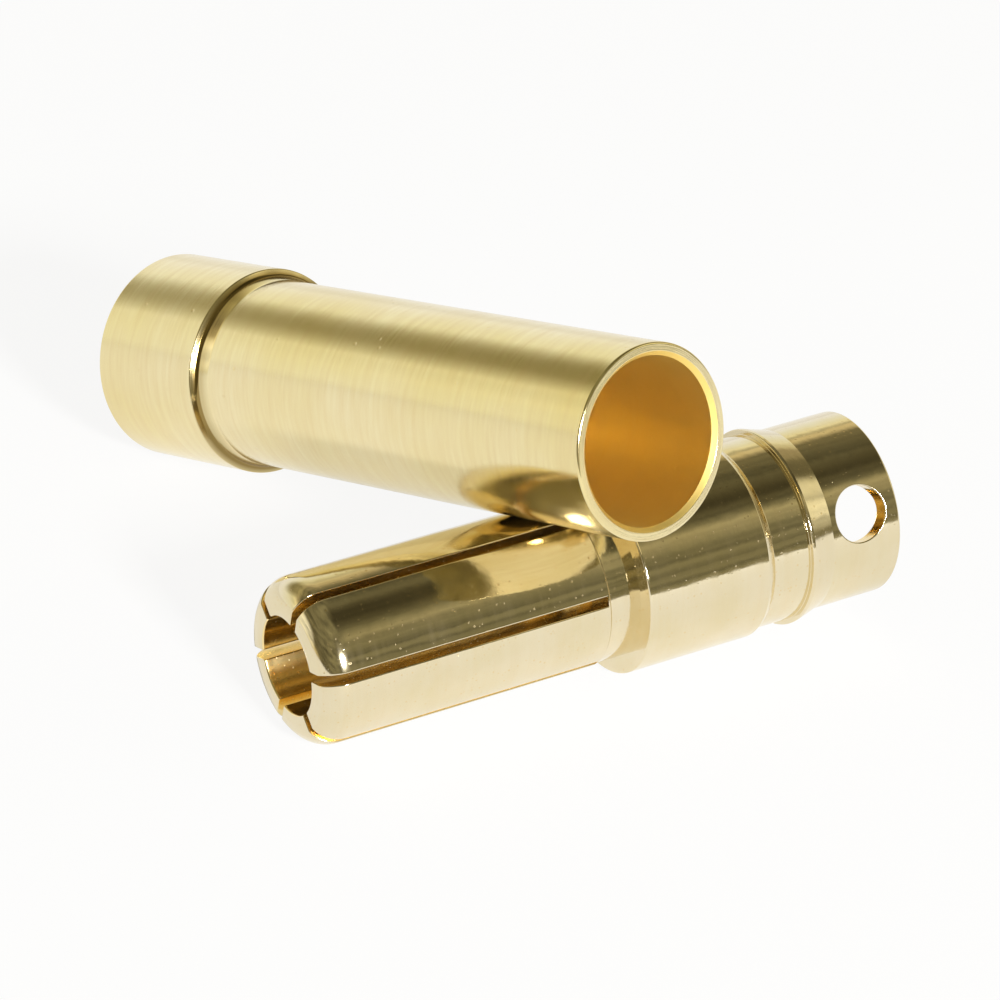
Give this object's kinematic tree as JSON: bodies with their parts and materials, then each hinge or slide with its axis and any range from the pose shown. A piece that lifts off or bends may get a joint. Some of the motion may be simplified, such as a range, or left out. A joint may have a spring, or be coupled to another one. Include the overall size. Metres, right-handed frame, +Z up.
{
  "type": "battery lead bullet connector",
  "caption": "Gold-plated bullet connector for a battery lead: a slotted spring plug with a solder cup, and the tube socket it mates with lying across it.",
  "frame": {"origin": "on the bench, under the middle of the box round both halves", "axes": "+X along the plug towards its solder cup, seen from above; +Y towards the socket's back end; +Z up"},
  "size_m": [0.0222, 0.0254, 0.0143],
  "materials": {
    "plug_gold": "gold plated, polished",
    "socket_gold": "gold plated, finely turned"
  },
  "bodies": {
    "root": {"plug": "plug_gold", "socket": "socket_gold"}
  },
  "joints": []
}
